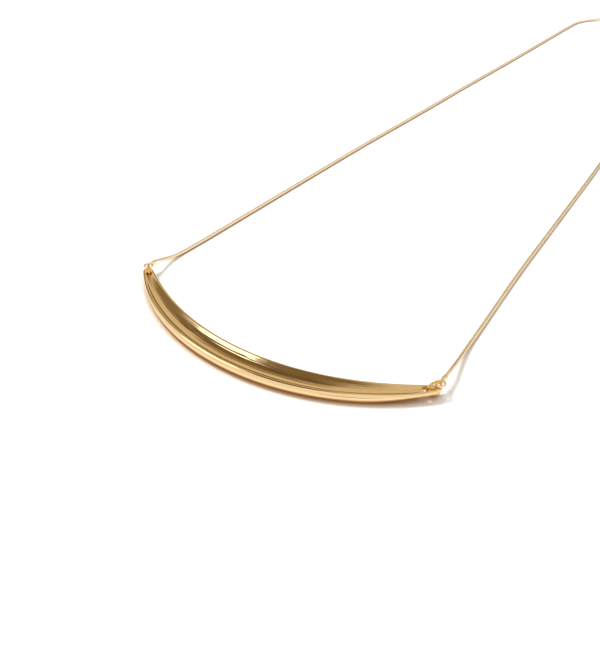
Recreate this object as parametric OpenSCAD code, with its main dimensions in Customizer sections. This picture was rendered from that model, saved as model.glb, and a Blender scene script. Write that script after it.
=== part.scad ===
// Crescent pendant necklace: a slim dished crescent with a ring through each tip,
// on two lengths of round snake chain that a ring clasp joins behind the neck.
// It lies on a level surface at z = 0, with X along the crescent from tip to tip
// and +Y towards the clasp. Sizes are in millimetres.

/* [Crescent] */
// Distance between the centres of the two rounded tips, on the middle line
tip_span = 56; // [54:1:58]
// Radius of the crescent's middle line, seen from above
crescent_r = 43.1; // [40:0.1:50]
// Height of the ridge and rim at the middle
crescent_h = 1.8; // [1.6:0.1:2.4]
// Distance from rim to ridge at the middle
dish_w = 3.65; // [2.4:0.05:5]
// Distance from rim to ridge at the tips
dish_tip_w = 1.4; // [1.2:0.05:1.5]
// Depth of the dish at the middle
dish_depth = 0.6; // [0.2:0.05:1]
// Swell of the outer wall past the ridge at the middle
outer_swell = 0.75; // [0.3:0.05:1.2]
// Swell of the inner wall past the rim at the middle
inner_swell = 0.3; // [0.1:0.05:0.6]

/* [Tips] */
// Radius of the rounded tip
tip_r = 0.9; // [0.85:0.01:0.95]
// How far the middle line bends outward at the tips
tip_out = 0.3; // [0.2:0.05:0.4]
// Distance along the middle line from the tip's centre back to its hole
hole_back = 1.25; // [1.2:0.01:1.3]
// Radius of the hole through each tip
hole_r = 0.6; // [0.56:0.01:0.62]
// Height of the tip's upper face
tip_top = 1.85; // [1.75:0.05:1.85]
// Height of the tip's lower face, clear of the ring's wire
tip_lift = 1.05; // [1.02:0.01:1.08]

/* [Jump rings] */
// Radius of the ring, to the middle of its wire
ring_r = 1.17; // [1.16:0.01:1.22]
// Radius of the ring's wire
ring_wire_r = 0.19; // [0.16:0.01:0.2]

/* [Chain ends] */
// Radius of the end loop, to the middle of its wire
loop_r = 0.72; // [0.7:0.01:0.8]
// Radius of the end loop's wire
loop_wire_r = 0.18; // [0.15:0.01:0.2]
// Outer radius of the cup that holds the chain's end
cup_r = 0.43; // [0.42:0.01:0.5]
// Length of the cup
cup_l = 1; // [0.9:0.1:1.5]

/* [Chain] */
// Radius of the round snake chain
chain_r = 0.325; // [0.25:0.005:0.34]
// Depth to which the chain stands in its cup
chain_seat = 0.7; // [0.5:0.1:0.8]

/* [Clasp] */
// Radius of the clasp's ring, to the middle of its tube
clasp_r = 2.1; // [2:0.05:3]
// Radius of the clasp's tube
clasp_tube_r = 0.45; // [0.35:0.01:0.46]
// Radius of the clasp's eyelet, to the middle of its wire
eyelet_r = 0.85; // [0.8:0.01:1]
// Radius of the eyelet's wire
eyelet_wire_r = 0.25; // [0.2:0.01:0.28]

/* [Hidden] */

gold = [0.84, 0.68, 0.40];
rose_gold = [0.86, 0.73, 0.56];
gap = 0.05;
// How far the jump ring's centre stands out from the tip hole's centre
ring_reach = 1.38;

// Plan of the crescent, before it is centred on the origin: the middle line is an
// arc about [0, arc_y], and angles along it run from the middle, positive to the right.
tip_y = -0.8;
tip_angle = asin(tip_span / 2 / crescent_r);
arc_y = crescent_r * cos(tip_angle) + tip_y;
hole_angle = tip_angle - hole_back / crescent_r * 180 / PI;
front_y = arc_y - crescent_r - dish_w / 2 - outer_swell;

// Section of the crescent, where q is the share of the way from the middle to a tip:
// the powers by which its width tapers, its walls' swell does and the middle line bends
// outward, the share at which the underside starts to lift and the stretch over which it
// does, and the share at which the dish ends and how fast it fades
taper = 2.1;
swell_taper = 4;
out_bend = 6;
lift_from = 0.64;
lift_over = 0.38;
dish_end = 0.96;
dish_fade = 5;
// Height share of the wall's widest line, and width share by which it draws in below
waist_share = 0.65;
under_share = 0.4;
// Angle at which the wall's curve leaves the crest
crest_angle = 30;
// Greatest value of t * sqrt(1 - t), the curve across the dish
dish_peak = 2 / (3 * sqrt(3));

// Each side is described as the right one is, and the left one is mirrored: the first
// entry of a pair is for the left side, the second for the right.
// The front end loops lie in the tops of the jump rings, and their cups dip with the chain.
hole = let (r = crescent_r + out_at(hole_angle)) [r * sin(hole_angle), arc_y - r * cos(hole_angle), 0];
front_loops = [for (from_hole = [[1.63, 1.59, 2.08], [1.38, 1.84, 2.08]]) hole + from_hole];
front_dips = [5, 3];
// The back end loops stand on edge around the clasp's tube and its eyelet.
clasp_x = 3;
back_y = 212;
back_z = loop_r + loop_wire_r + gap;
cup_reach = loop_r + loop_wire_r + cup_l;
// The eyelet's wire is soldered this far into the clasp's tube.
eyelet_sink = 0.15;
eyelet_x = clasp_r + clasp_tube_r + eyelet_r - eyelet_sink;
back_loops = [[eyelet_x + eyelet_r - clasp_x, back_y, back_z], [clasp_x + clasp_r, back_y, back_z]];

// Route of each half of the chain between its cups: down to the surface, back along a
// nearly straight line, and round the turn behind the neck, where it rises to the clasp.
routes = [[[28.95, 5, 0.95], [28.75, 8, 0.45], [28.45, 12, 0.35], [28, 18, 0.35], [26.6, 40, 0.35],
           [24.6, 70, 0.35], [22.2, 98, 0.35], [20.1, 125, 0.35], [17.8, 152, 0.35], [15.7, 180, 0.35],
           [14.2, 199, 0.35], [13.2, 204.5, 0.35], [10.6, 209.3, 0.4], [6.6, 211.6, 0.8]],
          [[28.45, 4.2, 1.8], [28.1, 8.5, 1], [27.8, 12.5, 0.5], [27.6, 18, 0.35], [26.9, 38, 0.35],
           [26.6, 60, 0.35], [26.2, 88, 0.35], [25.6, 114, 0.35], [24.6, 140, 0.35], [23.1, 165, 0.35],
           [21.2, 188, 0.35], [19.4, 200, 0.35], [17.7, 205.6, 0.35], [14.6, 210, 0.4], [10.6, 211.7, 0.8]]];
route_steps = 2;
chain_sides = 8;
// Both ends of a half keep to the axes of their cups for a short lead outside them.
lead = 0.5;

// Everything is centred over the origin along Y.
middle_y = (front_y + back_y + clasp_r + clasp_tube_r) / 2;

// Steps of the crescent's skin: along each half, round the tip, across the dish and
// on each quarter of a wall, and the fineness of the round pieces
body_steps = 24;
tip_angles = [15, 30, 45, 60, 75, 86];
dish_steps = 12;
wall_steps = 5;
ring_fn = 64;
wire_fn = 24;
bore_fn = 48;

function mix(a, b, t) = a + (b - a) * t;
function smooth(t) = let (c = min(max(t, 0), 1)) c * c * (3 - 2 * c);
function unit(v) = v / norm(v);

// Section sizes at q: half the dish's width, reach of each wall, heights of the crest
// and the underside, depth of the dish, and height of the wall's widest line
function half_dish(q) = mix(dish_w / 2, dish_tip_w / 2, pow(q, taper));
function outer_w(q) = half_dish(q) + mix(outer_swell, tip_r - dish_tip_w / 2, pow(q, swell_taper));
function inner_w(q) = half_dish(q) + mix(inner_swell, tip_r - dish_tip_w / 2, pow(q, swell_taper));
function top_z(q) = mix(crescent_h, tip_top, q * q * q);
function base_z(q) = tip_lift * smooth((q - lift_from) / lift_over);
function depth_at(q) = dish_depth * max(0, 1 - pow(q / dish_end, dish_fade));
function waist_z(q) = mix(base_z(q), top_z(q), waist_share);

// One wall of the section, from its crest down to the flat underside: side is 1 for
// the outer wall and -1 for the inner one, and w is its greatest reach.
function wall(q, side, w) =
    let (g = half_dish(q), zw = waist_z(q), h = top_z(q) - zw, low = zw - base_z(q))
    concat(
        [for (i = [1 : wall_steps]) let (f = mix(crest_angle, 90, i / wall_steps))
            [side * (g + (w - g) * (sin(f) - sin(crest_angle)) / (1 - sin(crest_angle))),
             zw + h * cos(f) / cos(crest_angle)]],
        [for (i = [1 : wall_steps]) let (f = 90 * i / wall_steps)
            [side * w * (1 - under_share * (1 - cos(f))), zw - low * sin(f)]]);

// The dish, from the rim on the inner side across to the ridge on the outer side:
// a gentle slope down from the rim, and a steep one up to the ridge
function dish(q) = let (g = half_dish(q), top = top_z(q), d = depth_at(q))
    [for (i = [0 : dish_steps]) let (t = sin(90 * i / dish_steps))
        [mix(-g, g, t), top - d * t * sqrt(1 - t) / dish_peak]];

function reversed(v) = [for (i = [len(v) - 1 : -1 : 0]) v[i]];
function section(q) = concat(wall(q, -1, inner_w(q)), reversed(wall(q, 1, outer_w(q))), reversed(dish(q)));

// How far the middle line lies outside its arc at an angle
function out_at(a) = tip_out * pow(abs(a) / tip_angle, out_bend);

// A station of the crescent: its angle, how far past the tip's centre it lies, and the
// share of its section's width that is left there
function tip_stations(side) = [for (f = tip_angles) [side * tip_angle, side * tip_r * sin(f), cos(f)]];
function stations() = concat(reversed(tip_stations(-1)),
    [for (i = [-body_steps : body_steps]) [tip_angle * i / body_steps, 0, 1]], tip_stations(1));
function place(s, p) = let (a = s[0], r = crescent_r + out_at(a) + p[0] * s[2])
    [r * sin(a) + s[1] * cos(a), arc_y - r * cos(a) + s[1] * sin(a), p[1]];

// Skin over rings of points that all have the same count, closed flat at both ends
function skin_faces(rings, n) = concat(
    [for (r = [0 : rings - 2], i = [0 : n - 1]) let (a = r * n + i, b = r * n + (i + 1) % n)
        each [[a, b, b + n], [a, b + n, a + n]]],
    [[for (i = [n - 1 : -1 : 0]) i]],
    [[for (i = [0 : n - 1]) (rings - 1) * n + i]]);
module skin(rings) {
    n = len(rings[0]);
    polyhedron(points = [for (r = rings, p = r) p], faces = skin_faces(len(rings), n), convexity = 8);
}

// Tube of chain_sides flats swept along the points p
function tangent(p, i) = unit(p[min(i + 1, len(p) - 1)] - p[max(i - 1, 0)]);
function tube_ring(c, t, r) = let (s = unit(cross(t, [0, 0, 1])), u = cross(s, t))
    [for (k = [0 : chain_sides - 1]) let (f = 360 * (k + 0.5) / chain_sides)
        c + r * (cos(f) * s + sin(f) * u)];
module tube(p, r) skin([for (i = [0 : len(p) - 1]) tube_ring(p[i], tangent(p, i), r)]);

// Smooth curve through the points p, route_steps to each stretch between them
function curve_at(a, b, c, d, t) =
    0.5 * (2 * b + (c - a) * t + (2 * a - 5 * b + 4 * c - d) * t * t + (3 * b - a - 3 * c + d) * t * t * t);
function curve(p) = let (n = len(p)) concat(
    [for (i = [0 : n - 2], k = [0 : route_steps - 1])
        curve_at(p[max(i - 1, 0)], p[i], p[i + 1], p[min(i + 2, n - 1)], k / route_steps)],
    [p[n - 1]]);

// Both ends of the chain stand in their cups, on the axes of the end loops.
function pair_index(side) = side > 0 ? 1 : 0;
function front_turn(i) = atan2(routes[i][0][1] - front_loops[i][1], routes[i][0][0] - front_loops[i][0]);
function front_axis(i) = let (a = front_turn(i), dip = front_dips[i])
    [cos(a) * cos(dip), sin(a) * cos(dip), -sin(dip)];
function front_end(i, d) = front_loops[i] + d * front_axis(i);
function back_end(i, d) = back_loops[i] + [d, 0, 0];
function chain_route(i) = concat(
    [for (d = [-chain_seat, 0, lead]) front_end(i, cup_reach + d)], routes[i],
    [for (d = [lead, 0, -chain_seat]) back_end(i, cup_reach + d)]);

module ring(r, wire_r) rotate_extrude($fn = ring_fn) translate([r, 0]) circle(r = wire_r, $fn = wire_fn);

module centred() translate([0, -middle_y, 0]) children();
module on_side(side) if (side > 0) children(); else mirror([1, 0, 0]) children();

module pendant() color(gold) centred() difference() {
    skin([for (s = stations()) [for (p = section(abs(s[0]) / tip_angle)) place(s, p)]]);
    for (side = [-1, 1])
        translate([side * hole[0], hole[1], 0]) cylinder(r = hole_r, h = 2 * crescent_h, $fn = bore_fn);
}

// The jump ring stands on edge through the tip's hole, in line with the end loop.
module jump_ring(side) {
    loop = front_loops[pair_index(side)];
    reach = unit([loop[0] - hole[0], loop[1] - hole[1], 0]);
    color(gold) centred() on_side(side)
        translate(hole + ring_reach * reach + [0, 0, ring_r + ring_wire_r + gap])
        rotate([90, 0, atan2(reach[1], reach[0])]) ring(ring_r, ring_wire_r);
}

// End loop soldered to a cup that the chain stands in, along +X from the loop's centre
module end_cup() {
    rotate([0, 90, 0]) translate([0, 0, loop_r]) difference() {
        cylinder(r = cup_r, h = loop_wire_r + cup_l, $fn = bore_fn);
        translate([0, 0, loop_wire_r + cup_l - chain_seat - gap])
            cylinder(r = chain_r + gap, h = cup_l, $fn = bore_fn);
    }
}

module front_cup(side) color(rose_gold) centred() on_side(side) {
    i = pair_index(side);
    translate(front_loops[i]) rotate([0, front_dips[i], front_turn(i)]) {
        ring(loop_r, loop_wire_r);
        end_cup();
    }
}

module back_cup(side) color(rose_gold) centred() on_side(side)
    translate(back_loops[pair_index(side)]) {
        rotate([90, 0, 0]) ring(loop_r, loop_wire_r);
        end_cup();
    }

module chain(side) color(rose_gold) centred() on_side(side)
    tube(curve(chain_route(pair_index(side))), chain_r);

// One plain ring with an eyelet soldered to its left side
module clasp() color(gold) centred() translate([clasp_x, back_y, back_z]) {
    ring(clasp_r, clasp_tube_r);
    translate([-eyelet_x, 0, 0]) ring(eyelet_r, eyelet_wire_r);
}

pendant();
jump_ring(-1);  // jump_ring_left
jump_ring(1);  // jump_ring_right
front_cup(-1);  // front_cup_left
front_cup(1);  // front_cup_right
chain(-1);  // chain_left
chain(1);  // chain_right
back_cup(-1);  // back_cup_left
back_cup(1);  // back_cup_right
clasp();
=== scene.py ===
"""Crescent pendant necklace: dressed pieces, floor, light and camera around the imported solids.

Sizes are written in millimetres and turned to metres by MM. Every piece is made where its
solid lies, so it needs no fitting.
"""

import logging
from collections.abc import Callable
from dataclasses import dataclass, field
from enum import Enum
from math import asin, atan2, copysign, cos, exp, hypot, pi, radians, sin, sqrt

import bmesh
import bpy
from mathutils import Matrix, Vector


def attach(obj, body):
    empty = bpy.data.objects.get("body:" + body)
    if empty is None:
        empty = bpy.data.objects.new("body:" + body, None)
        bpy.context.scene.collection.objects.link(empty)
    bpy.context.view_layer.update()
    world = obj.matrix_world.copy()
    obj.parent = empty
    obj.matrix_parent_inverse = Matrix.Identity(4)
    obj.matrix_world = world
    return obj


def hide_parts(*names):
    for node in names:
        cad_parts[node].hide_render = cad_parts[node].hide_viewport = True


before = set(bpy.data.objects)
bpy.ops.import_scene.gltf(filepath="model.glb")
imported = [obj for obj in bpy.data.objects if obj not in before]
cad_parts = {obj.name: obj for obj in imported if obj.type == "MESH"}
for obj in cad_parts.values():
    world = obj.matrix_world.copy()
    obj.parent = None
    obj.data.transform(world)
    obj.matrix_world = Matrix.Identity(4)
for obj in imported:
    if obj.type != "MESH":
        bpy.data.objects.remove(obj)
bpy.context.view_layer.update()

LOG = logging.getLogger("necklace")
MM = 0.001
BODY = "root"

Point = tuple[float, float, float]
Flat = tuple[float, float]
Wave = tuple[float, float, float, float]
Piece = bpy.types.Object
Finish = bpy.types.Material
Tree = bpy.types.NodeTree
Socket = bpy.types.NodeSocket

# Middle of the necklace along Y, measured from the line that part.scad draws it on
MIDDLE_Y = 100.4207
# Way that the camera looks, in plan
HEADING: Flat = (-0.5553, 0.8317)
# Vertices that are closer than this are merged, in millimetres
WELD_MM = 0.0005
# Distance within which a vertex counts as lying in a tip's end plane, in millimetres
PLANE_MM = 0.01
# Slack for an angle in radians, and the least length that something is divided by
ANGLE_SLACK = 1e-5
TINY = 1e-12
# Edges of the wire pieces that bend by more than this stay sharp
WIRE_SMOOTH_DEG = 40
# Values that a noise pattern seldom leaves
NOISE_RANGE: Flat = (0.3, 0.7)


class Side(Enum):
    """Which half of the necklace a piece belongs to."""

    LEFT = -1
    RIGHT = 1

    @property
    def word(self) -> str:
        """Name of the side as the nodes spell it."""
        return self.name.lower()


class End(Enum):
    """Which end of a chain a cup is on."""

    FRONT = "front"
    BACK = "back"


class Slot(Enum):
    """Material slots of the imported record."""

    GOLD = "gold"
    ROSE_GOLD = "rose_gold"


# Small tools for materials


def linear(code: str) -> tuple[float, float, float, float]:
    """Turn an sRGB colour, written as "#RRGGBB", to linear values with full alpha."""
    parts = (int(code[i:i + 2], 16) / 255 for i in (1, 3, 5))
    return (*(c / 12.92 if c <= 0.04045 else ((c + 0.055) / 1.055) ** 2.4 for c in parts), 1.0)


def new_material(name: str) -> tuple[Finish, Tree, Socket]:
    """Make a material whose tree holds only the object's coordinates.

    Args:
        name: Name of the finish.

    Returns:
        The material, its node tree and the output that gives the coordinates.
    """
    made = bpy.data.materials.new(name)
    made.use_nodes = True
    tree = made.node_tree
    tree.nodes.clear()
    return made, tree, add_node(tree, "TexCoord").outputs["Object"]


def add_node(tree: Tree, kind: str, sockets: dict | None = None,
             **settings: object) -> bpy.types.Node:
    """Add one node with its settings and links.

    Args:
        tree: Node tree that gets the node.
        kind: Blender's name of the node type, which follows ShaderNode.
        sockets: Input name or number against a value, or against an output to link it to.
        **settings: Properties of the node.

    Returns:
        The new node.
    """
    made = tree.nodes.new("ShaderNode" + kind)
    for name, value in settings.items():
        setattr(made, name, value)
    for key, value in (sockets or {}).items():
        if isinstance(value, bpy.types.NodeSocket):
            tree.links.new(value, made.inputs[key])
        else:
            made.inputs[key].default_value = value
    return made


def noise(tree: Tree, place: Socket, scale: float, detail: float, roughness: float = 0.5) -> Socket:
    """Value of a noise pattern, whose scale is one over the size of its grain."""
    return add_node(tree, "TexNoise", {
        "Vector": place, "Scale": scale, "Detail": detail, "Roughness": roughness}).outputs["Fac"]


def remap(tree: Tree, value: Socket, taken: Flat, given: Flat = (0.0, 1.0),
          eased_in: bool = False) -> Socket:
    """Map the range taken onto the range given, with smooth ends where it is eased in."""
    ends = dict(zip(("From Min", "From Max", "To Min", "To Max"), taken + given))
    return add_node(tree, "MapRange", {"Value": value, **ends},
                    interpolation_type=("LINEAR", "SMOOTHSTEP")[eased_in]).outputs["Result"]


def blend(tree: Tree, share: Socket, first: object, second: object) -> Socket:
    """Blend two colours, each a linear colour or an output, by the second one's share."""
    return add_node(tree, "Mix", {"Factor": share, 6: first, 7: second},
                    data_type="RGBA").outputs[2]


def bump(tree: Tree, height: Socket, high_mm: float, strength: float = 1.0,
         **under: Socket) -> Socket:
    """Tilt a surface by a pattern of heights, on top of the tilt given as Normal."""
    return add_node(tree, "Bump", {
        "Height": height, "Strength": strength, "Distance": high_mm * MM, **under}).outputs[0]


def coat(tree: Tree, colour: object, roughness: object, normal: Socket,
         metallic: float = 1.0) -> None:
    """End a material in its surface, from values or outputs, as metal unless metallic is 0."""
    skin = add_node(tree, "BsdfPrincipled", {
        "Base Color": colour, "Metallic": metallic, "Roughness": roughness, "Normal": normal})
    add_node(tree, "OutputMaterial", {"Surface": skin.outputs["BSDF"]})


# Small tools for meshes


def deselect() -> None:
    """Go into object mode with nothing selected."""
    if bpy.context.object and bpy.context.object.mode != "OBJECT":
        bpy.ops.object.mode_set(mode="OBJECT")
    bpy.ops.object.select_all(action="DESELECT")


def edit_all() -> None:
    """Go into edit mode with everything selected."""
    bpy.ops.object.mode_set(mode="EDIT")
    bpy.ops.mesh.select_all(action="SELECT")


def choose(piece: Piece) -> None:
    """Make one piece the only selected and the active one.

    Args:
        piece: Object that is worked on next.
    """
    deselect()
    piece.select_set(True)
    bpy.context.view_layer.objects.active = piece


def pick(piece: Piece, wanted: Callable[[Vector], bool]) -> None:
    """Select in edit mode the vertices that a rule picks by their place.

    Args:
        piece: Object in edit mode.
        wanted: Rule that takes a vertex's place and says whether it is picked.
    """
    bpy.ops.mesh.select_mode(type="VERT")
    bpy.ops.mesh.select_all(action="DESELECT")
    edit = bmesh.from_edit_mesh(piece.data)
    for vert in edit.verts:
        vert.select = bool(wanted(vert.co))
    edit.select_flush_mode()
    bmesh.update_edit_mesh(piece.data)


def apply_modifier(piece: Piece, kind: str, **settings: object) -> None:
    """Add a modifier to a piece and apply it at once.

    Args:
        piece: Object that is changed.
        kind: Blender's name of the modifier type.
        **settings: Properties of the modifier.
    """
    choose(piece)
    made = piece.modifiers.new(kind.lower(), kind)
    for name, value in settings.items():
        setattr(made, name, value)
    bpy.ops.object.modifier_apply(modifier=made.name)


def cut_or_weld(piece: Piece, other: Piece, operation: str) -> None:
    """Join another solid to a piece, or cut it out, and remove the other."""
    apply_modifier(piece, "BOOLEAN", operation=operation, object=other, solver="EXACT")
    bpy.data.objects.remove(other, do_unlink=True)


def settle(piece: Piece, place: Matrix | None = None) -> None:
    """Put a piece's place into its mesh and leave its object at the origin.

    Args:
        piece: Object that is moved.
        place: Matrix that takes it to its place, if it isn't there yet.
    """
    choose(piece)
    if place is not None:
        piece.matrix_world = place @ piece.matrix_world
    bpy.ops.object.transform_apply(location=True, rotation=True, scale=True)


def tidy_faces(piece: Piece, smooth_deg: float = WIRE_SMOOTH_DEG) -> None:
    """Merge doubles, turn faces outwards and shade them smooth up to an angle.

    Args:
        piece: Object that is finished.
        smooth_deg: Angle over which an edge stays sharp.
    """
    choose(piece)
    edit_all()
    bpy.ops.mesh.remove_doubles(threshold=WELD_MM * MM)
    bpy.ops.mesh.normals_make_consistent(inside=False)
    bpy.ops.object.mode_set(mode="OBJECT")
    bpy.ops.object.shade_smooth_by_angle(angle=radians(smooth_deg))


def hand_over(piece: Piece, node: str, finish: Finish) -> None:
    """Give a finished piece its finish and let it stand for its solid.

    Args:
        piece: Finished object.
        node: Name of the solid's node.
        finish: Material that covers it.
    """
    piece.data.materials.clear()
    piece.data.materials.append(finish)
    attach(piece, BODY)
    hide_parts(node)
    LOG.info("%s: %d faces", piece.name, len(piece.data.polygons))


def turned(name: str, stations: list[Flat], sides: int) -> Piece:
    """Turn a closed solid along +Z by extruding a disc through its stations.

    Args:
        name: Name of the piece.
        stations: Radius and height of each station, in metres, from the first face to the last.
        sides: Number of sides of the round.

    Returns:
        The solid, with both ends closed.
    """
    deselect()
    radius, height = stations[0]
    bpy.ops.mesh.primitive_circle_add(vertices=sides, radius=radius, fill_type="NGON",
                                      location=(0, 0, height))
    piece = bpy.context.object
    piece.name = name
    edit_all()
    for wide, high in stations[1:]:
        bpy.ops.mesh.extrude_region_move(TRANSFORM_OT_translate={"value": (0, 0, high - height)})
        share = wide / radius
        bpy.ops.transform.resize(value=(share, share, 1), center_override=(0, 0, high))
        radius, height = wide, high
    settle(piece)
    return piece


def wire_ring(name: str, radius: float, wire: float, sides: int, steps: int,
              cut_deg: float = 0.0) -> Piece:
    """Bend a round wire into a ring about +Z, closed or with a fine cut.

    Args:
        name: Name of the piece.
        radius: Radius to the middle of the wire, in metres.
        wire: Radius of the wire.
        sides: Number of sides of the wire.
        steps: Number of steps round the ring.
        cut_deg: Angle left open at the cut, or 0 for a soldered ring.

    Returns:
        The ring, centred on the origin.
    """
    deselect()
    bpy.ops.mesh.primitive_circle_add(vertices=sides, radius=wire, fill_type="NOTHING",
                                      location=(radius, 0, 0), rotation=(pi / 2, 0, 0))
    piece = bpy.context.object
    piece.name = name
    settle(piece)
    edit_all()
    turn = 2 * pi - radians(cut_deg)
    bpy.ops.mesh.spin(steps=steps, angle=turn, center=(0, 0, 0), axis=(0, 0, 1))
    if cut_deg:
        # Spin turns clockwise, so the wire ends just past its start on the other side
        far = Matrix.Rotation(radians(cut_deg), 4, "Z") @ Vector((radius, 0, 0))
        near, thin = wire * 1.05, wire * 0.01
        for end in (Vector((radius, 0, 0)), far):
            flat = Vector((-end.y, end.x, 0)).normalized()
            pick(piece, lambda p, e=end, f=flat: (p - e).length < near
                 and abs((p - e).dot(f)) < thin)
            bpy.ops.mesh.edge_face_add()
    bpy.ops.object.mode_set(mode="OBJECT")
    return piece


# Finishes


@dataclass(frozen=True)
class PolishedGold:
    """Yellow gold plating on cast brass, buffed on a wheel.

    The casting is buffed along its length, which leaves it mirror-bright with a slight
    waviness and very fine lines that run with the crescent.
    """

    name: str = "gold_plate_buffed"
    colour: str = "#F4D6A7"
    deep_colour: str = "#EECB95"
    roughness: float = 0.075
    rough_spread: float = 0.05
    haze_mm: float = 3.0
    haze_range: Flat = (0.3, 0.75)
    wave_mm: float = 5.0
    wave_stretch: Point = (0.35, 2.2, 1)
    wave_height_mm: float = 0.02
    line_mm: float = 0.12
    line_stretch: Point = (0.03, 1, 1)
    line_height_mm: float = 0.0015
    bow_y: float = 0.0
    bow_radius_mm: float = 43.1

    def along_bow(self, tree: Tree, place: Socket) -> Socket:
        """Turn places on the crescent to polar coordinates about its centre.

        Args:
            tree: Node tree of the material.
            place: Output that gives the object's coordinates.

        Returns:
            Distance along the bow, distance from its centre, and height, in metres.
        """
        moved = add_node(tree, "Mapping", {
            "Vector": place, "Location": (0, -self.bow_y, 0)}).outputs["Vector"]
        axes = add_node(tree, "SeparateXYZ", {"Vector": moved})
        angle = add_node(tree, "Math", {0: axes.outputs["X"], 1: axes.outputs["Y"]},
                         operation="ARCTAN2")
        along = add_node(tree, "Math", {
            0: angle.outputs[0], 1: self.bow_radius_mm * MM}, operation="MULTIPLY")
        level = add_node(tree, "VectorMath", {0: moved, 1: (1, 1, 0)}, operation="MULTIPLY")
        across = add_node(tree, "VectorMath", {0: level.outputs[0]}, operation="LENGTH")
        return add_node(tree, "CombineXYZ", {
            0: along.outputs[0], 1: across.outputs["Value"], 2: axes.outputs["Z"]}).outputs[0]

    def make(self) -> Finish:
        """Build the finish from buffing lines, the wheel's waviness and patches of haze.

        Returns:
            The material.
        """
        made, tree, place = new_material(self.name)
        bow = self.along_bow(tree, place)
        # Both grains are drawn out along the bow
        fine, long = (add_node(tree, "Mapping", {
            "Vector": bow, "Scale": tuple(s / (size * MM) for s in stretch)}).outputs["Vector"]
            for size, stretch in ((self.line_mm, self.line_stretch),
                                  (self.wave_mm, self.wave_stretch)))
        lines = noise(tree, fine, 1.0, 2.0, 0.55)
        waves = noise(tree, long, 1.0, 1.5, 0.45)
        haze = noise(tree, bow, 1 / (self.haze_mm * MM), 3.0, 0.6)
        rough = remap(tree, haze, self.haze_range,
                      (self.roughness, self.roughness + self.rough_spread))
        tone = blend(tree, haze, linear(self.colour), linear(self.deep_colour))
        swell = bump(tree, waves, self.wave_height_mm)
        coat(tree, tone, rough, bump(tree, lines, self.line_height_mm, Normal=swell))
        return made


@dataclass(frozen=True)
class WireGold:
    """Yellow gold plating on drawn wire, for the jump rings and the clasp.

    Drawn and tumbled wire is brighter and smoother than a casting, with small dents that
    break up its highlights.
    """

    name: str = "gold_plate_drawn_wire"
    colour: str = "#DDB263"
    roughness: float = 0.07
    rough_gain: float = 2.0
    dent_mm: float = 0.5
    dent_height_mm: float = 0.006

    def make(self) -> Finish:
        """Build the finish from small dents and patches of haze.

        Returns:
            The material.
        """
        made, tree, place = new_material(self.name)
        dents = noise(tree, place, 1 / (self.dent_mm * MM), 1.0)
        haze = remap(tree, dents, NOISE_RANGE, (self.roughness, self.roughness * self.rough_gain))
        coat(tree, linear(self.colour), haze, bump(tree, dents, self.dent_height_mm))
        return made


@dataclass(frozen=True)
class PaleRoseGold:
    """Pale rose gold plating, on the snake chain and its end cups.

    Stamped links are tumbled bright, so each one shows a clean highlight, and the plating
    varies a little from link to link.
    """

    name: str = "rose_gold_plate_tumbled"
    colour: str = "#F9E4C4"
    deep_colour: str = "#EFD6B2"
    roughness: float = 0.16
    rough_gain: float = 1.8
    patch_mm: float = 0.9
    patch_height_mm: float = 0.004

    def make(self) -> Finish:
        """Build the finish from patches of tone and haze.

        Returns:
            The material.
        """
        made, tree, place = new_material(self.name)
        patch = noise(tree, place, 1 / (self.patch_mm * MM), 2.0, 0.6)
        tone = blend(tree, patch, linear(self.colour), linear(self.deep_colour))
        haze = remap(tree, patch, NOISE_RANGE, (self.roughness, self.roughness * self.rough_gain))
        coat(tree, tone, haze, bump(tree, patch, self.patch_height_mm))
        return made


@dataclass(frozen=True)
class MattePaper:
    """Smooth white photo paper: matte, with a slight tooth, and a warm brown shade painted into its
    colour close to the metal.
    """

    name: str = "matte_white_paper"
    colour: str = "#F1F1F0"
    roughness: float = 0.7
    tooth_mm: float = 0.4
    tooth_height_mm: float = 0.01
    tooth_strength: float = 0.2
    painted_shade_colour: str = "#B98F62"
    shade_reach_mm: float = 2.4
    shade_range: Flat = (0.35, 0.8)
    shade_samples: int = 8

    def make(self) -> Finish:
        """Build the finish from a fine tooth and a painted warm shade, which darkens the colour
        where ambient occlusion finds metal close by.

        Returns:
            The material.
        """
        made, tree, place = new_material(self.name)
        tooth = noise(tree, place, 1 / (self.tooth_mm * MM), 2.0)
        # Painted shade: the paper's colour turns warm brown under and beside the metal, standing in
        # for its contact shadow
        open_sky = add_node(tree, "AmbientOcclusion", {"Distance": self.shade_reach_mm * MM},
                            samples=self.shade_samples).outputs["AO"]
        share = remap(tree, open_sky, self.shade_range)
        tone = blend(tree, share, linear(self.painted_shade_colour), linear(self.colour))
        coat(tree, tone, self.roughness,
             bump(tree, tooth, self.tooth_height_mm, self.tooth_strength), metallic=0.0)
        return made


# Crescent


def mix(a: float, b: float, t: float) -> float:
    """Blend from a to b."""
    return a + (b - a) * t


def eased(t: float) -> float:
    """Smooth step from 0 to 1."""
    c = min(max(t, 0.0), 1.0)
    return c * c * (3 - 2 * c)


def waves_at(waves: tuple[Wave, ...], s: float, t: float) -> float:
    """Add up waves that are given by height, speed along s, speed across t and start."""
    return sum(high * sin(along * s + across * t + start) for high, along, across, start in waves)


def resampled(line: list[Flat], skips: Flat, count: int) -> list[Flat]:
    """Lay evenly spaced points along a line, short of its ends.

    Args:
        line: Points of the line.
        skips: Lengths left out at its start and end.
        count: Number of points.

    Returns:
        The new points.
    """
    marks = [0.0]
    for (ax, az), (bx, bz) in zip(line, line[1:]):
        marks.append(marks[-1] + hypot(bx - ax, bz - az))
    found, k = [], 0
    for i in range(count):
        want = mix(skips[0], marks[-1] - skips[1], i / (count - 1))
        while k < len(marks) - 2 and marks[k + 1] < want:
            k += 1
        share = (want - marks[k]) / max(marks[k + 1] - marks[k], TINY)
        found.append((mix(line[k][0], line[k + 1][0], share),
                      mix(line[k][1], line[k + 1][1], share)))
    return found


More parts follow.
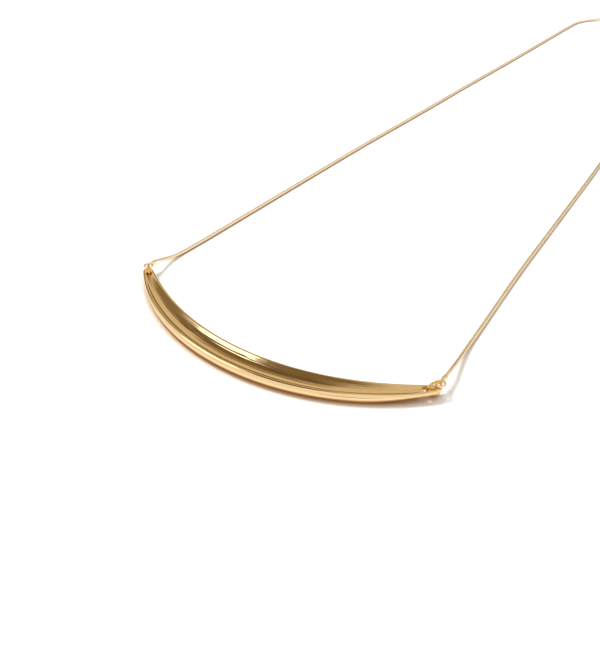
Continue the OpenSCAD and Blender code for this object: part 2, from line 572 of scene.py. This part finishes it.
def rounded(start: Flat, corner: Flat, end: Flat, count: int) -> list[Flat]:
    """Points strictly between start and end on the curve that rounds a corner."""
    return [tuple((1 - t) ** 2 * s + 2 * t * (1 - t) * c + t * t * e
                  for s, c, e in zip(start, corner, end))
            for t in (i / (count + 1) for i in range(1, count + 1))]


@dataclass
class Crescent:
    """The dished crescent: a swept section with rounded crests and a drilled tip at each end.

    All sizes are in millimetres and have the names that part.scad gives them.
    """

    tip_span: float = 56
    crescent_r: float = 43.1
    crescent_h: float = 1.8
    dish_w: float = 3.65
    dish_tip_w: float = 1.4
    dish_depth: float = 0.6
    outer_swell: float = 0.75
    inner_swell: float = 0.3
    tip_r: float = 0.9
    tip_out: float = 0.3
    hole_back: float = 1.25
    hole_r: float = 0.6
    tip_top: float = 1.85
    tip_lift: float = 1.05
    tip_y: float = -0.8
    taper: float = 2.1
    swell_taper: float = 4
    out_bend: float = 6
    lift_from: float = 0.64
    lift_over: float = 0.38
    dish_end: float = 0.96
    dish_fade: float = 5
    waist_share: float = 0.65
    under_share: float = 0.4
    crest_deg: float = 30
    # What follows is finer than the solid: edges, unevenness and numbers of faces
    crest_round: float = 0.28
    hole_break: float = 0.06
    wave_height: float = 0.007
    waves: tuple[Wave, ...] = ((1, 9.1, 5, 0.6), (0.7, 17.3, -7, 2.1), (0.45, 31, 11, 4))
    ripple_height: float = 0.006
    drift_waves: tuple[Wave, ...] = ((1.4, 2.3, 0, 0.8), (0.7, 5.9, 0, 2))
    spot_height: float = 0.005
    spot_at: Flat = (0.12, 0.22)
    spot_size: Flat = (0.14, 0.13)
    spot_waves: tuple[Wave, ...] = ((1, 70, 25, 0), (1, 38, -40, 1))
    steps: int = 260
    tip_steps: int = 14
    tip_turn_deg: float = 87.5
    wall_steps: int = 24
    dish_steps: int = 80
    dish_points: int = 44
    wall_points: int = 24
    crest_points: int = 8
    drill_sides: int = 64
    ring_mm: float = 0.8
    smooth_deg: float = 32

    def __post_init__(self) -> None:
        """Work out the bow's angle and centre, and the angle of a tip's hole."""
        self.tip_angle = asin(self.tip_span / 2 / self.crescent_r)
        self.hole_angle = self.tip_angle - self.hole_back / self.crescent_r
        self.arc_y = self.crescent_r * cos(self.tip_angle) + self.tip_y - MIDDLE_Y
        self.ring_z = self.crescent_h / 2

    def half_dish(self, q: float) -> float:
        """Half the distance from rim to ridge."""
        return mix(self.dish_w / 2, self.dish_tip_w / 2, q ** self.taper)

    def reach(self, q: float, swell: float) -> float:
        """Greatest reach of a wall."""
        return self.half_dish(q) + mix(swell, self.tip_r - self.dish_tip_w / 2,
                                       q ** self.swell_taper)

    def top_z(self, q: float) -> float:
        """Height of both crests."""
        return mix(self.crescent_h, self.tip_top, q ** 3)

    def base_z(self, q: float) -> float:
        """Height of the underside."""
        return self.tip_lift * eased((q - self.lift_from) / self.lift_over)

    def unevenness(self, s: float, t: float) -> float:
        """Work out the dish's hand-finished waviness and its buffing ripples.

        Args:
            s: Share of the way to a tip's hole, from -1 to 1.
            t: Share of the way across the dish, from the rim to the ridge.

        Returns:
            Height of the surface over its plain form, in millimetres.
        """
        # Two sets of ripples run along the bow, drift sideways, and one fades in and out
        drift = waves_at(self.drift_waves, s, t)
        ripple = (sin(44 * t + drift) * (0.6 + 0.4 * sin(6.1 * s + 8 * t))
                  + 0.6 * sin(71 * t - 1.7 * drift + 1.1))
        # A small uneven spot by the rim, in the middle of the bow, that the buffing left
        spot = (exp(-((s - self.spot_at[0]) / self.spot_size[0]) ** 2
                    - ((t - self.spot_at[1]) / self.spot_size[1]) ** 2)
                * waves_at(self.spot_waves, s, t))
        uneven = (self.wave_height * waves_at(self.waves, s, t) + self.ripple_height * ripple
                  + self.spot_height * spot)
        return uneven * sin(pi * t)

    def wall(self, q: float, swell: float) -> list[Flat]:
        """Draw a wall from its crest to the flat underside, on the positive side.

        Args:
            q: Share of the way to a tip's hole, from 0 to 1.
            swell: How far the wall stands out in the middle of the bow.

        Returns:
            Points as (outward, height).
        """
        g, w, base, top = self.half_dish(q), self.reach(q, swell), self.base_z(q), self.top_z(q)
        waist = mix(base, top, self.waist_share)
        lean = radians(self.crest_deg)
        line = []
        for i in range(self.wall_steps + 1):
            f = mix(lean, pi / 2, i / self.wall_steps)
            line.append((g + (w - g) * (sin(f) - sin(lean)) / (1 - sin(lean)),
                         waist + (top - waist) * cos(f) / cos(lean)))
        for i in range(1, self.wall_steps + 1):
            f = pi / 2 * i / self.wall_steps
            line.append((w * (1 - self.under_share * (1 - cos(f))),
                         waist - (waist - base) * sin(f)))
        return line

    def dish(self, s: float) -> list[Flat]:
        """Draw the dish from the ridge to the rim.

        Args:
            s: Share of the way to a tip's hole, from -1 to 1.

        Returns:
            Points as (outward, height).
        """
        q = abs(s)
        g, top = self.half_dish(q), self.top_z(q)
        depth = self.dish_depth * max(0.0, 1 - (q / self.dish_end) ** self.dish_fade)
        line = []
        for i in range(self.dish_steps + 1):
            t = sin(pi / 2 * (1 - i / self.dish_steps))
            # The factor makes the deepest point as deep as depth
            drop = depth * (t * sqrt(1 - t) * 3 * sqrt(3) / 2)
            line.append((mix(-g, g, t),
                         top - drop + self.unevenness(s, t) * depth / self.dish_depth))
        return line

    def section(self, s: float) -> list[Flat]:
        """Section at the share s of the way to a tip hole.

        Args:
            s: From -1 at the left hole to 1 at the right one.

        Returns:
            Points as (outward, height), from the outer wall's foot over the ridge, the dish
            and the rim to the inner wall's foot.
        """
        q, d, n = min(abs(s), 1.0), self.crest_round, self.wall_points
        outer = self.wall(q, self.outer_swell)
        inner = [(-x, z) for x, z in self.wall(q, self.inner_swell)]
        up = resampled(outer[::-1], (0, d), n)
        over = resampled(self.dish(s), (d, d), self.dish_points)
        down = resampled(inner, (d, 0), n)
        ridge = rounded(up[-1], outer[0], over[0], self.crest_points)
        rim = rounded(over[-1], inner[0], down[0], self.crest_points)
        return up + ridge + over + rim + down

    def arc_point(self, angle: float, outward: float, past: float, z: float) -> Vector:
        """Place in metres at an angle, out from the middle line, straight past and z high."""
        r = self.crescent_r + outward + self.tip_out * abs(angle / self.tip_angle) ** self.out_bend
        return Vector((r * sin(angle) + past * cos(angle),
                       self.arc_y - r * cos(angle) + past * sin(angle), z)) * MM

    def shape(self, place: Vector, rings: dict[float, list[Flat]], count: int) -> Vector:
        """Move one vertex of the plain bow to its place on the section.

        Args:
            place: Vertex of the round bow, in metres.
            rings: Sections that are worked out already, by station.
            count: Number of points round a section.

        Returns:
            The vertex's place on the crescent.
        """
        x, y, z = (c / MM for c in place)
        angle = atan2(x, self.arc_y - y)
        side = copysign(1.0, angle)
        past, narrow = 0.0, 1.0
        if abs(angle) > self.tip_angle - ANGLE_SLACK:
            up, level, r = sin(self.tip_angle), cos(self.tip_angle), self.crescent_r
            away = Vector((x, y)) - Vector((r * up * side, self.arc_y - r * level))
            past = max(away.dot(Vector((level * side, up))), 0.0)
            outward = away.dot(Vector((up * side, -level)))
            angle = self.tip_angle * side
            narrow = sqrt(max(1 - (past / self.tip_r) ** 2, 0.0))
        else:
            outward = hypot(x, self.arc_y - y) - self.crescent_r
        s = round(angle / self.tip_angle, 6)
        if s not in rings:
            rings[s] = self.section(s)
        k = round(atan2(z - self.ring_z, outward) / (2 * pi) * count) % count
        wide, high = rings[s][k]
        return self.arc_point(angle, wide * narrow, past * side, high)

    def drill(self, side: Side) -> Piece:
        """Make the cutter for a tip's hole, flared at both faces to break the edges.

        Args:
            side: Tip that is drilled.

        Returns:
            The cutter in its place.
        """
        r, b = self.hole_r, self.hole_break
        q = self.hole_angle / self.tip_angle
        low, high = self.base_z(q), self.top_z(q)
        stations = [(r + 2 * b, low - b), (r, low + b), (r, high - b), (r + 2 * b, high + b)]
        made = turned("drill", [(wide * MM, tall * MM) for wide, tall in stations],
                      self.drill_sides)
        settle(made, Matrix.Translation(self.arc_point(self.hole_angle * side.value, 0, 0, 0)))
        tidy_faces(made, self.smooth_deg)
        return made

    def build(self) -> Piece:
        """Bend a round bar into the bow, draw its ends out, shape it and drill it.

        Returns:
            The finished crescent.
        """
        count = len(self.section(0.0))
        deselect()
        start = self.arc_point(-self.tip_angle, -self.tip_out, 0, self.ring_z)
        bpy.ops.mesh.primitive_circle_add(vertices=count, radius=self.ring_mm * MM,
                                          fill_type="NOTHING")
        piece = bpy.context.object
        piece.name = "crescent_pendant"
        turn = Matrix.Rotation(-self.tip_angle - pi / 2, 4, "Z") @ Matrix.Rotation(pi / 2, 4, "X")
        settle(piece, Matrix.Translation(start) @ turn)
        edit_all()
        # Spin turns clockwise, and the bow runs the other way from its left end
        bpy.ops.mesh.spin(steps=self.steps, angle=-2 * self.tip_angle,
                          center=(0, self.arc_y * MM, 0), axis=(0, 0, 1))
        for side in Side:
            run = Vector((cos(self.tip_angle) * side.value, sin(self.tip_angle), 0))
            end = self.arc_point(self.tip_angle * side.value, -self.tip_out, 0, self.ring_z)
            pick(piece, lambda p, e=end, r=run, v=side.value:
                 p.x * v > 0 and abs((p - e).dot(r)) < PLANE_MM * MM)
            gone = 0.0
            for i in range(1, self.tip_steps + 1):
                past = self.tip_r * sin(radians(self.tip_turn_deg * i / self.tip_steps))
                bpy.ops.mesh.extrude_region_move(
                    TRANSFORM_OT_translate={"value": run * (past - gone) * MM})
                gone = past
            bpy.ops.mesh.edge_face_add()
        bpy.ops.object.mode_set(mode="OBJECT")
        rings: dict[float, list[Flat]] = {}
        for vert in piece.data.vertices:
            vert.co = self.shape(vert.co, rings, count)
        tidy_faces(piece, self.smooth_deg)
        for side in Side:
            cut_or_weld(piece, self.drill(side), "DIFFERENCE")
        tidy_faces(piece, self.smooth_deg)
        return piece

    def dress(self, piece: Piece, finish: Finish) -> None:
        """Give the crescent its finish and its node."""
        hand_over(piece, "pendant", finish)


# Chain, rings and clasp


@dataclass
class FrontEnd:
    """Place of one front end loop and of the jump ring behind it, as part.scad works them out.

    The sizes are those of the right side, and the left one is their mirror image.
    """

    side: Side
    from_hole: dict[Side, Point] = field(default_factory=lambda: {
        Side.LEFT: (1.63, 1.59, 2.08), Side.RIGHT: (1.38, 1.84, 2.08)})
    firsts: dict[Side, Flat] = field(default_factory=lambda: {
        Side.LEFT: (28.95, 5.0), Side.RIGHT: (28.45, 4.2)})
    dips: dict[Side, float] = field(default_factory=lambda: {Side.LEFT: 5.0, Side.RIGHT: 3.0})

    def hole(self) -> Vector:
        """Find the centre of the tip's hole.

        Returns:
            Its place in plan, on the line that part.scad draws it on.
        """
        crescent = Crescent()
        at = crescent.arc_point(crescent.hole_angle, 0, 0, 0) / MM
        return Vector((at.x, at.y + MIDDLE_Y, 0))

    def loop(self) -> Vector:
        """Centre of the end loop."""
        return self.hole() + Vector(self.from_hole[self.side])

    def heading(self) -> float:
        """Find the way that the cup points in plan.

        Returns:
            Its angle in radians, for the right-hand form.
        """
        x, y, _ = self.loop()
        first_x, first_y = self.firsts[self.side]
        return atan2(first_y - y, first_x - x)

    def axis(self) -> Vector:
        """Direction in which the cup points, for the right-hand form."""
        dip, a = radians(self.dips[self.side]), self.heading()
        return Vector((cos(a) * cos(dip), sin(a) * cos(dip), -sin(dip)))


def in_place(side: Side, matrix: Matrix) -> Matrix:
    """Take a right-hand place in millimetres to this side, in metres.

    Args:
        side: Side that the piece is on.
        matrix: Turn and place of the right-hand form, with its place in millimetres.

    Returns:
        The matrix for a mesh in metres.
    """
    moved = matrix.copy()
    moved.translation = (matrix.translation - Vector((0, MIDDLE_Y, 0))) * MM
    mirror = Matrix.Scale(-1, 4, (1, 0, 0)) if side is Side.LEFT else Matrix.Identity(4)
    return mirror @ moved


@dataclass
class JumpRing:
    """A round wire ring through a tip's hole, with its ends pressed together."""

    side: Side
    ring_r: float = 1.17
    wire_r: float = 0.19
    gap: float = 0.05
    reach: float = 1.38
    cut_deg: float = 1.6
    cut_at_deg: float = 235
    sides: int = 20
    steps: int = 72

    def build(self) -> Piece:
        """Bend the ring and stand it in the hole.

        Returns:
            The ring in its place.
        """
        end = FrontEnd(self.side)
        piece = wire_ring(f"jump_ring_{self.side.word}_wire", self.ring_r * MM, self.wire_r * MM,
                          self.sides, self.steps, self.cut_deg)
        hole = end.hole().to_2d()
        out = (end.loop().to_2d() - hole).normalized()
        centre = hole + out * self.reach
        stand = Matrix.Translation((centre.x, centre.y, self.ring_r + self.wire_r + self.gap))
        turn = Matrix.Rotation(atan2(out.y, out.x), 4, "Z") @ Matrix.Rotation(pi / 2, 4, "X")
        cut = Matrix.Rotation(radians(self.cut_at_deg), 4, "Z")
        settle(piece, in_place(self.side, stand @ turn @ cut))
        tidy_faces(piece)
        return piece

    def dress(self, piece: Piece, finish: Finish) -> None:
        """Give the ring its finish and its node."""
        hand_over(piece, f"jump_ring_{self.side.word}", finish)


@dataclass
class EndCup:
    """An end loop soldered to the cup that the chain's end stands in, made along +X."""

    side: Side
    end: End
    loop_r: float = 0.72
    wire_r: float = 0.18
    cup_r: float = 0.43
    cup_l: float = 1.0
    chain_r: float = 0.325
    seat: float = 0.7
    gap: float = 0.05
    lip: float = 0.03
    shoulder: float = 0.16
    bore_point: float = 0.2
    wire_sides: int = 20
    loop_steps: int = 64
    cup_sides: int = 40
    back_loops: dict[Side, Point] = field(default_factory=lambda: {
        Side.LEFT: (1.1, 212.0, 0.95), Side.RIGHT: (5.1, 212.0, 0.95)})

    def cup(self) -> Piece:
        """Turn the cup: a rounded shoulder, a plain barrel, a rounded lip and the bore.

        Returns:
            The cup, along +Z.
        """
        base, far = self.loop_r, self.loop_r + self.wire_r + self.cup_l
        bore, floor = self.chain_r + self.gap, far - self.seat - self.gap
        round_in = [(self.cup_r - self.shoulder * (1 - sin(f)), base + self.shoulder * (1 - cos(f)))
                    for f in map(radians, (10, 30, 50, 70, 90))]
        lip = [(self.cup_r - self.lip * (1 - cos(f)), far - self.lip * (1 - sin(f)))
               for f in map(radians, (0, 30, 60, 90))]
        inside = [(bore, far), (bore, floor), (bore * self.bore_point, floor)]
        return turned("cup", [(r * MM, h * MM) for r, h in round_in + lip + inside], self.cup_sides)

    def build(self) -> Piece:
        """Solder loop and cup together and put them in their place.

        Returns:
            The end cup in its place.
        """
        piece = wire_ring(f"{self.end.value}_end_cup_{self.side.word}", self.loop_r * MM,
                          self.wire_r * MM, self.wire_sides, self.loop_steps)
        tidy_faces(piece)
        cup = self.cup()
        settle(cup, Matrix.Rotation(pi / 2, 4, "Y"))
        tidy_faces(cup)
        if self.end is End.BACK:
            settle(piece, Matrix.Rotation(pi / 2, 4, "X"))
        cut_or_weld(piece, cup, "UNION")
        if self.end is End.FRONT:
            front = FrontEnd(self.side)
            dip = Matrix.Rotation(radians(front.dips[self.side]), 4, "Y")
            turn = Matrix.Rotation(front.heading(), 4, "Z")
            place = Matrix.Translation(front.loop()) @ turn @ dip
        else:
            place = Matrix.Translation(self.back_loops[self.side])
        settle(piece, in_place(self.side, place))
        tidy_faces(piece)
        return piece

    def dress(self, piece: Piece, finish: Finish) -> None:
        """Give the cup its finish and its node."""
        hand_over(piece, f"{self.end.value}_cup_{self.side.word}", finish)


@dataclass
class SnakeChain:
    """One half of the round snake chain: wavy links nested on the route of its solid."""

    side: Side
    chain_r: float = 0.325
    seat: float = 0.7
    lead: float = 0.5
    cup_reach: float = 1.9
    pitch: float = 0.4
    band: float = 0.21
    thick: float = 0.055
    wave: float = 0.09
    round_sides: int = 12
    band_sides: int = 5
    fine: int = 12
    smooth_deg: float = 80
    routes: dict[Side, list[Point]] = field(default_factory=lambda: {
        Side.LEFT: [(28.95, 5, 0.95), (28.75, 8, 0.45), (28.45, 12, 0.35), (28, 18, 0.35),
                    (26.6, 40, 0.35), (24.6, 70, 0.35), (22.2, 98, 0.35), (20.1, 125, 0.35),
                    (17.8, 152, 0.35), (15.7, 180, 0.35), (14.2, 199, 0.35), (13.2, 204.5, 0.35),
                    (10.6, 209.3, 0.4), (6.6, 211.6, 0.8)],
        Side.RIGHT: [(28.45, 4.2, 1.8), (28.1, 8.5, 1), (27.8, 12.5, 0.5), (27.6, 18, 0.35),
                     (26.9, 38, 0.35), (26.6, 60, 0.35), (26.2, 88, 0.35), (25.6, 114, 0.35),
                     (24.6, 140, 0.35), (23.1, 165, 0.35), (21.2, 188, 0.35), (19.4, 200, 0.35),
                     (17.7, 205.6, 0.35), (14.6, 210, 0.4), (10.6, 211.7, 0.8)]})

    def route(self) -> list[Vector]:
        """Smooth line of the chain from inside its front cup to inside its back cup.

        Returns:
            Points close together, in metres, in their place.
        """
        front, back = FrontEnd(self.side), Vector(EndCup(self.side, End.BACK).back_loops[self.side])
        ends = (-self.seat, 0.0, self.lead)
        line = [front.loop() + front.axis() * (self.cup_reach + d) for d in ends]
        line += [Vector(p) for p in self.routes[self.side]]
        line += [back + Vector((self.cup_reach + d, 0, 0)) for d in reversed(ends)]
        found = []
        for i in range(len(line) - 1):
            a, b, c, d = (line[min(max(k, 0), len(line) - 1)] for k in (i - 1, i, i + 1, i + 2))
            for k in range(self.fine):
                t = k / self.fine
                found.append(0.5 * (2 * b + (c - a) * t + (2 * a - 5 * b + 4 * c - d) * t * t
                                    + (3 * b - a - 3 * c + d) * t ** 3))
        found.append(line[-1])
        return [in_place(self.side, Matrix.Translation(p)).translation for p in found]

    def guide(self, line: list[Vector]) -> Piece:
        """Draw the curve that the links are laid along, which is removed again afterwards.

        Args:
            line: Points of the route.

        Returns:
            The curve.
        """
        data = bpy.data.curves.new("route", "CURVE")
        data.dimensions = "3D"
        spline = data.splines.new("POLY")
        spline.points.add(len(line) - 1)
        for point, place in zip(spline.points, line):
            point.co = (*place, 1)
        made = bpy.data.objects.new("route", data)
        bpy.context.scene.collection.objects.link(made)
        return made

    def link(self) -> Piece:
        """Model one link: a rounded band, spun into a ring about X and bent into a wave.

        Returns:
            The link, centred on the origin.
        """
        deselect()
        middle = (self.chain_r - self.thick) * MM
        bpy.ops.mesh.primitive_circle_add(vertices=self.band_sides, radius=MM, fill_type="NOTHING")
        piece = bpy.context.object
        settle(piece, Matrix.Translation((0, middle, 0))
               @ Matrix.Diagonal((self.band, self.thick, 1, 1)))
        edit_all()
        bpy.ops.mesh.spin(steps=self.round_sides, angle=2 * pi, center=(0, 0, 0), axis=(1, 0, 0))
        bpy.ops.object.mode_set(mode="OBJECT")
        for vert in piece.data.vertices:
            vert.co.x += self.wave * MM * cos(2 * atan2(vert.co.z, vert.co.y))
        tidy_faces(piece, self.smooth_deg)
        return piece

    def build(self) -> Piece:
        """Lay the links one after another along the route.

        Returns:
            The half chain in its place.
        """
        line = self.route()
        guide = self.guide(line)
        length = sum((b - a).length for a, b in zip(line, line[1:]))
        count = round(length / (self.pitch * MM))
        piece = self.link()
        piece.name = f"snake_chain_{self.side.word}"
        pitch = length / count
        settle(piece, Matrix.Translation((pitch / 2, 0, 0)))
        apply_modifier(piece, "ARRAY", count=count, use_relative_offset=False,
                       use_constant_offset=True, constant_offset_displace=(pitch, 0, 0))
        apply_modifier(piece, "CURVE", object=guide, deform_axis="POS_X")
        bpy.data.objects.remove(guide, do_unlink=True)
        choose(piece)
        bpy.ops.object.shade_smooth_by_angle(angle=radians(self.smooth_deg))
        LOG.info("%s: %d links on %.1f mm", piece.name, count, length / MM)
        return piece

    def dress(self, piece: Piece, finish: Finish) -> None:
        """Give the chain its finish and its node."""
        hand_over(piece, f"chain_{self.side.word}", finish)


@dataclass
class RingClasp:
    """The plain ring behind the neck, with the eyelet soldered to it."""

    clasp_r: float = 2.1
    tube_r: float = 0.45
    tube_sides: int = 28
    clasp_steps: int = 96
    eyelet_r: float = 0.85
    wire_r: float = 0.25
    wire_sides: int = 20
    eyelet_steps: int = 64
    eyelet_x: float = 3.25
    centre: Point = (3.0, 212.0, 0.95)

    def build(self) -> Piece:
        """Bend both rings and solder them together.

        Returns:
            The clasp in its place.
        """
        piece = wire_ring("ring_clasp", self.clasp_r * MM, self.tube_r * MM, self.tube_sides,
                          self.clasp_steps)
        tidy_faces(piece)
        eyelet = wire_ring("eyelet", self.eyelet_r * MM, self.wire_r * MM, self.wire_sides,
                           self.eyelet_steps)
        settle(eyelet, Matrix.Translation((-self.eyelet_x * MM, 0, 0)))
        tidy_faces(eyelet)
        cut_or_weld(piece, eyelet, "UNION")
        settle(piece, in_place(Side.RIGHT, Matrix.Translation(self.centre)))
        tidy_faces(piece)
        return piece

    def dress(self, piece: Piece, finish: Finish) -> None:
        """Give the clasp its finish and its node."""
        hand_over(piece, "clasp", finish)


# Studio


@dataclass
class PhotoCamera:
    """Camera at the photo's angle."""

    place: Point = (56.10, -178.60, 74.57)
    pitch_deg: float = 37.5
    lens: float = 40.85
    sensor: float = 36.0
    seen: Flat = (0.005, 20)

    def build(self) -> None:
        """Set up the camera and make it the scene's."""
        data = bpy.data.cameras.new("photo_camera")
        data.lens, data.sensor_width, data.sensor_fit = self.lens, self.sensor, "AUTO"
        data.clip_start, data.clip_end = self.seen
        made = bpy.data.objects.new("photo_camera", data)
        bpy.context.scene.collection.objects.link(made)
        tilt = radians(self.pitch_deg)
        look = Vector((HEADING[0] * cos(tilt), HEADING[1] * cos(tilt), -sin(tilt)))
        made.location = Vector(self.place) * MM
        made.rotation_mode = "QUATERNION"
        made.rotation_quaternion = look.to_track_quat("-Z", "Y")
        bpy.context.scene.camera = made


@dataclass(frozen=True)
class Patch:
    """A soft-edged card in the studio's surroundings, with its angles in degrees.

    Its azimuth counts to the right of the way the camera looks. It is full up to the inner
    angle from its middle and has faded out at the outer one.
    """

    azimuth: float
    elevation: float
    inner: float
    outer: float
    colour: str
    strength: float = 1.0


@dataclass
class Studio:
    """White floor, a broad soft lamp and soft surroundings that the metal reflects.

    The dim cards show as the dish's brown bands, the lamp cards stand for the lamp, and the
    strip cards draw a thin line along the ridge.
    """

    floor_half: float = 3.0
    floor_drop: float = 0.01
    near_tone: str = "#FFFFFF"
    far_tone: str = "#DFD4BA"
    far_range: Flat = (0.42, 0.6)
    low_tone: str = "#4E4032"
    low_range: Flat = (0.16, 0.45)
    low_ahead: Flat = (0.3, 0.7)
    lamp_azimuth: float = -53
    lamp_elevation: float = 57
    lamp_distance: float = 1.5
    lamp_radius: float = 0.21
    lamp_watts: float = 16.0
    lamp_aim: Point = (0, -0.07, 0)
    dim_cards: tuple[Patch, ...] = (
        Patch(20, 72, 10, 20, "#DFD4BA"),
        Patch(-58, 75, 9, 16, "#7E6E52"),
        Patch(-18, 62, 6, 11, "#6E5C42"),
        Patch(-34, 50, 8, 13, "#78664A"),
        Patch(-44, 34, 9, 14, "#8C7C5E"),
        Patch(-9, 47, 4, 9, "#9A8868"),
        Patch(-170, 4, 8, 16, "#8C7C5E"),
    )
    lamp_cards: tuple[Patch, ...] = (
        Patch(-52, 53, 3.5, 6, "#F4FAFF", 2.4),
        Patch(-50, 59.5, 3.5, 6, "#F4FAFF", 2.4),
    )
    strip_cards: tuple[Patch, ...] = (
        Patch(-68, 45, 2.5, 5, "#F4FAFF", 3.0),
        Patch(-74, 50, 2.5, 5, "#F4FAFF", 3.0),
        Patch(-80, 56, 2.5, 5, "#F4FAFF", 3.0),
    )

    def direction(self, azimuth: float, elevation: float) -> Vector:
        """Find the way towards a place in the studio.

        Args:
            azimuth: Degrees to the right of the way the camera looks.
            elevation: Degrees above the horizon.

        Returns:
            The direction in the object's frame, of length 1.
        """
        a, e = radians(azimuth), radians(elevation)
        ahead, right = Vector((*HEADING, 0)), Vector((HEADING[1], -HEADING[0], 0))
        level = ahead * cos(a) + right * sin(a)
        return level * cos(e) + Vector((0, 0, sin(e)))

    def surroundings(self) -> None:
        """Build the world: white behind the camera, darker ahead, with its cards."""
        world = bpy.data.worlds.new("studio")
        world.use_nodes = True
        tree = world.node_tree
        tree.nodes.clear()
        way = add_node(tree, "TexCoord").outputs["Generated"]

        def nearness(other: Vector) -> Socket:
            """Cosine of the angle between what is looked at and another direction."""
            return add_node(tree, "VectorMath", {0: way, 1: other},
                            operation="DOT_PRODUCT").outputs["Value"]

        ahead = nearness(Vector((*HEADING, 0)))
        tone = blend(tree, remap(tree, ahead, self.far_range, eased_in=True),
                     linear(self.near_tone), linear(self.far_tone))
        height = add_node(tree, "SeparateXYZ", {"Vector": way}).outputs["Z"]
        low = add_node(tree, "Math", {
            0: remap(tree, height, self.low_range, (1.0, 0.0), eased_in=True),
            1: remap(tree, ahead, self.low_ahead, eased_in=True)}, operation="MULTIPLY")
        tone = blend(tree, low.outputs[0], tone, linear(self.low_tone))
        for card in self.dim_cards + self.lamp_cards + self.strip_cards:
            edges = tuple(cos(radians(a)) for a in (card.outer, card.inner))
            share = remap(tree, nearness(self.direction(card.azimuth, card.elevation)), edges,
                          eased_in=True)
            colour = [c * card.strength for c in linear(card.colour)[:3]] + [1]
            tone = blend(tree, share, tone, colour)
        light = add_node(tree, "Background", {"Color": tone, "Strength": 1.0})
        add_node(tree, "OutputWorld", {"Surface": light.outputs["Background"]})
        bpy.context.scene.world = world

    def lamp(self) -> None:
        """Hang the broad lamp, aimed at the crescent."""
        data = bpy.data.lights.new("soft_lamp", "AREA")
        data.shape, data.size, data.energy = "DISK", 2 * self.lamp_radius, self.lamp_watts
        made = bpy.data.objects.new("soft_lamp", data)
        bpy.context.scene.collection.objects.link(made)
        way = self.direction(self.lamp_azimuth, self.lamp_elevation)
        made.location = Vector(self.lamp_aim) + way * self.lamp_distance
        # The metal reflects the lamp cards instead
        made.visible_glossy = False
        made.rotation_mode = "QUATERNION"
        made.rotation_quaternion = (-way).to_track_quat("-Z", "Y")

    def floor(self) -> None:
        """Lay the white floor that the necklace rests on."""
        deselect()
        bpy.ops.mesh.primitive_plane_add(size=2 * self.floor_half,
                                         location=(0, 0, -self.floor_drop * MM))
        made = bpy.context.object
        made.name = "floor"
        settle(made)
        made.data.materials.append(MattePaper().make())

    def build(self) -> None:
        """Set up floor, lamp and surroundings."""
        self.floor()
        self.lamp()
        self.surroundings()
        bpy.context.scene.view_settings.view_transform = "Standard"


def main() -> None:
    """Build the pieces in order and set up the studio."""
    logging.basicConfig(level=logging.INFO, format="%(name)s: %(message)s")
    PhotoCamera().build()
    crescent = Crescent()
    crescent.dress(crescent.build(), PolishedGold(bow_y=crescent.arc_y * MM).make())
    wire, rose = WireGold().make(), PaleRoseGold().make()
    for side in Side:
        ring = JumpRing(side)
        ring.dress(ring.build(), wire)
        for end in End:
            cup = EndCup(side, end)
            cup.dress(cup.build(), rose)
        chain = SnakeChain(side)
        chain.dress(chain.build(), rose)
    clasp = RingClasp()
    clasp.dress(clasp.build(), wire)
    Studio().build()
    deselect()


if __name__ == "__main__":
    main()
